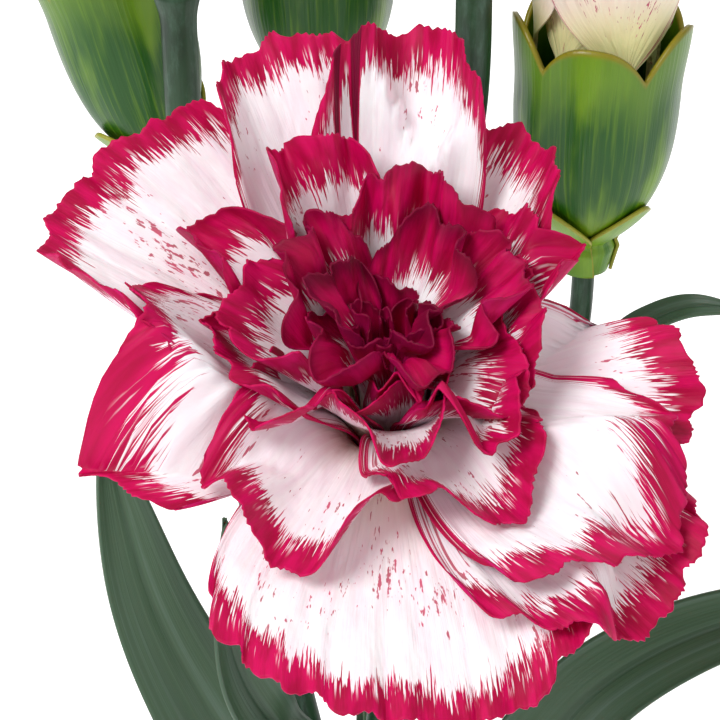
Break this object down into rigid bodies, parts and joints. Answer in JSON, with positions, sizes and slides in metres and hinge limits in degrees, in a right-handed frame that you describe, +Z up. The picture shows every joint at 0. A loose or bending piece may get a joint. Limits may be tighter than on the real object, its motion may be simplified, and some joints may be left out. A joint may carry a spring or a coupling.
{
  "type": "cut carnation",
  "caption": "Cut spray carnation with an open ruffled double bloom, white petals edged in crimson, opening side buds and narrow paired leaves on a jointed stem.",
  "frame": {"origin": "centre of the flat cut end of the stem", "axes": "+Z up along the lower stem, -Y towards the side that the open bloom leans to"},
  "size_m": [0.1052, 0.1201, 0.189],
  "materials": {
    "bloom_petal": "soft satin, white with crimson edges, streaks and flecks",
    "bud_petal": "soft satin, cream with magenta streaks",
    "calyx": "smooth yellow-green skin with a slight gloss",
    "stem": "dark bluish green with a waxy bloom",
    "leaf": "dark grey-green with a waxy bloom",
    "pistil": "pale green, matte"
  },
  "bodies": {
    "root": {"petal_front_guard": "bloom_petal", "petal_left_guard": "bloom_petal", "petal_right_guard": "bloom_petal", "petal_back_left_guard": "bloom_petal", "petal_right_back_guard": "bloom_petal", "petal_left_low": "bloom_petal", "petal_right_high": "bloom_petal", "petal_back_top": "bloom_petal", "petal_right_big": "bloom_petal", "petal_front_left_fold": "bloom_petal", "petal_back_right": "bloom_petal", "petal_left_front_small": "bloom_petal", "petal_front_right_fold": "bloom_petal", "petal_left_upright": "bloom_petal", "petal_right_ruffle": "bloom_petal", "petal_back_left_inner": "bloom_petal", "petal_front_right_lobe": "bloom_petal", "petal_left_face": "bloom_petal", "petal_front_left_lobe": "bloom_petal", "petal_front_lobe": "bloom_petal", "petal_crown_back": "bloom_petal", "petal_crown_right": "bloom_petal", "petal_crown_left": "bloom_petal", "petal_crown_front_left": "bloom_petal", "petal_crown_front": "bloom_petal", "petal_crown_back_right": "bloom_petal", "petal_heart_left": "bloom_petal", "petal_heart_right": "bloom_petal", "bloom_calyx": "calyx", "bloom_bracts": "calyx", "pistil": "pistil", "stem": "stem", "right_bud_calyx": "calyx", "right_bud_bracts": "calyx", "right_bud_petal_front": "bud_petal", "right_bud_petal_right": "bud_petal", "right_bud_petal_left": "bud_petal", "right_bud_branch": "stem", "left_bud_calyx": "calyx", "left_bud_bracts": "calyx", "left_bud_petal_front": "bud_petal", "left_bud_petal_back": "bud_petal", "left_bud_petal_left": "bud_petal", "left_bud_branch": "stem", "centre_bud_calyx": "calyx", "centre_bud_bracts": "calyx", "centre_bud_petal_front": "bud_petal", "centre_bud_petal_back": "bud_petal", "centre_bud_branch": "stem", "small_bud_right_calyx": "calyx", "small_bud_right_branch": "stem", "small_bud_left_calyx": "calyx", "small_bud_left_branch": "stem", "leaf_lower_front": "leaf", "leaf_lower_back": "leaf", "leaf_middle_left": "leaf", "leaf_middle_right": "leaf", "leaf_upper_front": "leaf", "leaf_upper_back": "leaf", "leaf_branch_right": "leaf"}
  },
  "joints": []
}
